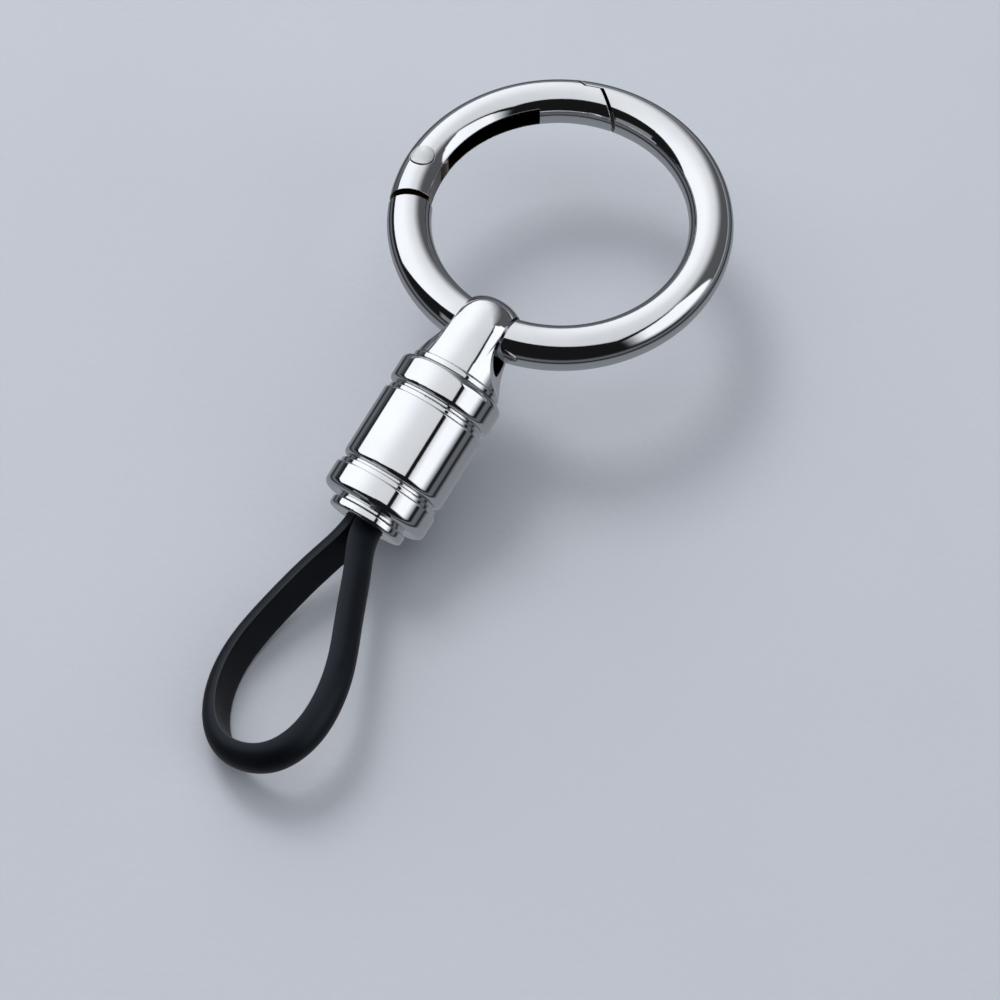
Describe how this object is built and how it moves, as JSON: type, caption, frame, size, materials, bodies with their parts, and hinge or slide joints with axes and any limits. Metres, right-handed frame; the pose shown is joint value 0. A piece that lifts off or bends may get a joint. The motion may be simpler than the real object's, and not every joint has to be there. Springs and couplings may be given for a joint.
{
  "type": "spring gate key ring",
  "caption": "Round spring-gate key ring on a swivelling metal barrel, with a folded rubber strap loop held in the barrel's lower end.",
  "frame": {"origin": "centre of the ring, in the middle of its wire's thickness", "axes": "+Z along the ring's axis, up, with the ring lying level; -Y from the ring's centre to the swivel eye, so the barrel and strap run along -Y and slope down; +X to the right"},
  "size_m": [0.035, 0.0819, 0.0154],
  "materials": {
    "ring_chrome": "polished",
    "barrel_chrome": "polished",
    "pin_chrome": "satin",
    "spring_steel": "oiled",
    "plunger_brass": "turned",
    "strap_rubber": "matt"
  },
  "bodies": {
    "barrel": {"barrel_sleeve": "barrel_chrome", "end_collar": "barrel_chrome"},
    "strap": {"strap_loop": "strap_rubber"},
    "cap": {"swivel_cap": "barrel_chrome"},
    "eye": {"swivel_eye": "barrel_chrome", "swivel_washer": "spring_steel"},
    "ring": {"ring_body": "ring_chrome"},
    "gate": {"ring_gate": "ring_chrome", "gate_hinge_pin": "pin_chrome", "gate_spring": "spring_steel"},
    "plunger": {"spring_plunger": "plunger_brass"}
  },
  "joints": [
    {"name": "strap_swivel", "type": "hinge", "parent": "barrel", "child": "strap", "pos_m": [0, -0.01525, 0], "axis": [0.0647, 0.9489, 0.309], "continuous": true},
    {"name": "cap_unscrew", "type": "slide", "parent": "barrel", "child": "cap", "axis": [0.0647, 0.9489, 0.309], "range_m": [0, 0.004]},
    {"name": "eye_swivel", "type": "hinge", "parent": "cap", "child": "eye", "pos_m": [0, -0.01525, 0], "axis": [0.0647, 0.9489, 0.309], "continuous": true},
    {"name": "ring_swing", "type": "hinge", "parent": "eye", "child": "ring", "pos_m": [0, -0.01525, 0], "axis": [0.9977, -0.068, 0], "range_deg": [-150, 150]},
    {"name": "gate_open", "type": "hinge", "parent": "ring", "child": "gate", "pos_m": [-0.01546, -0.00108, 0], "axis": [0, 0, -1], "range_deg": [0, 25], "stiffness_Nm_per_rad": 0.01, "springref_deg": -17.19, "deforming": ["gate_spring"]},
    {"name": "plunger_push", "type": "slide", "parent": "gate", "child": "plunger", "axis": [-0.0698, 0.9976, 0], "range_m": [0, 0.0006]}
  ],
  "couplings": [
    {"joint": "plunger_push", "follows": "gate_open", "m_per_rad": 0.0011}
  ]
}
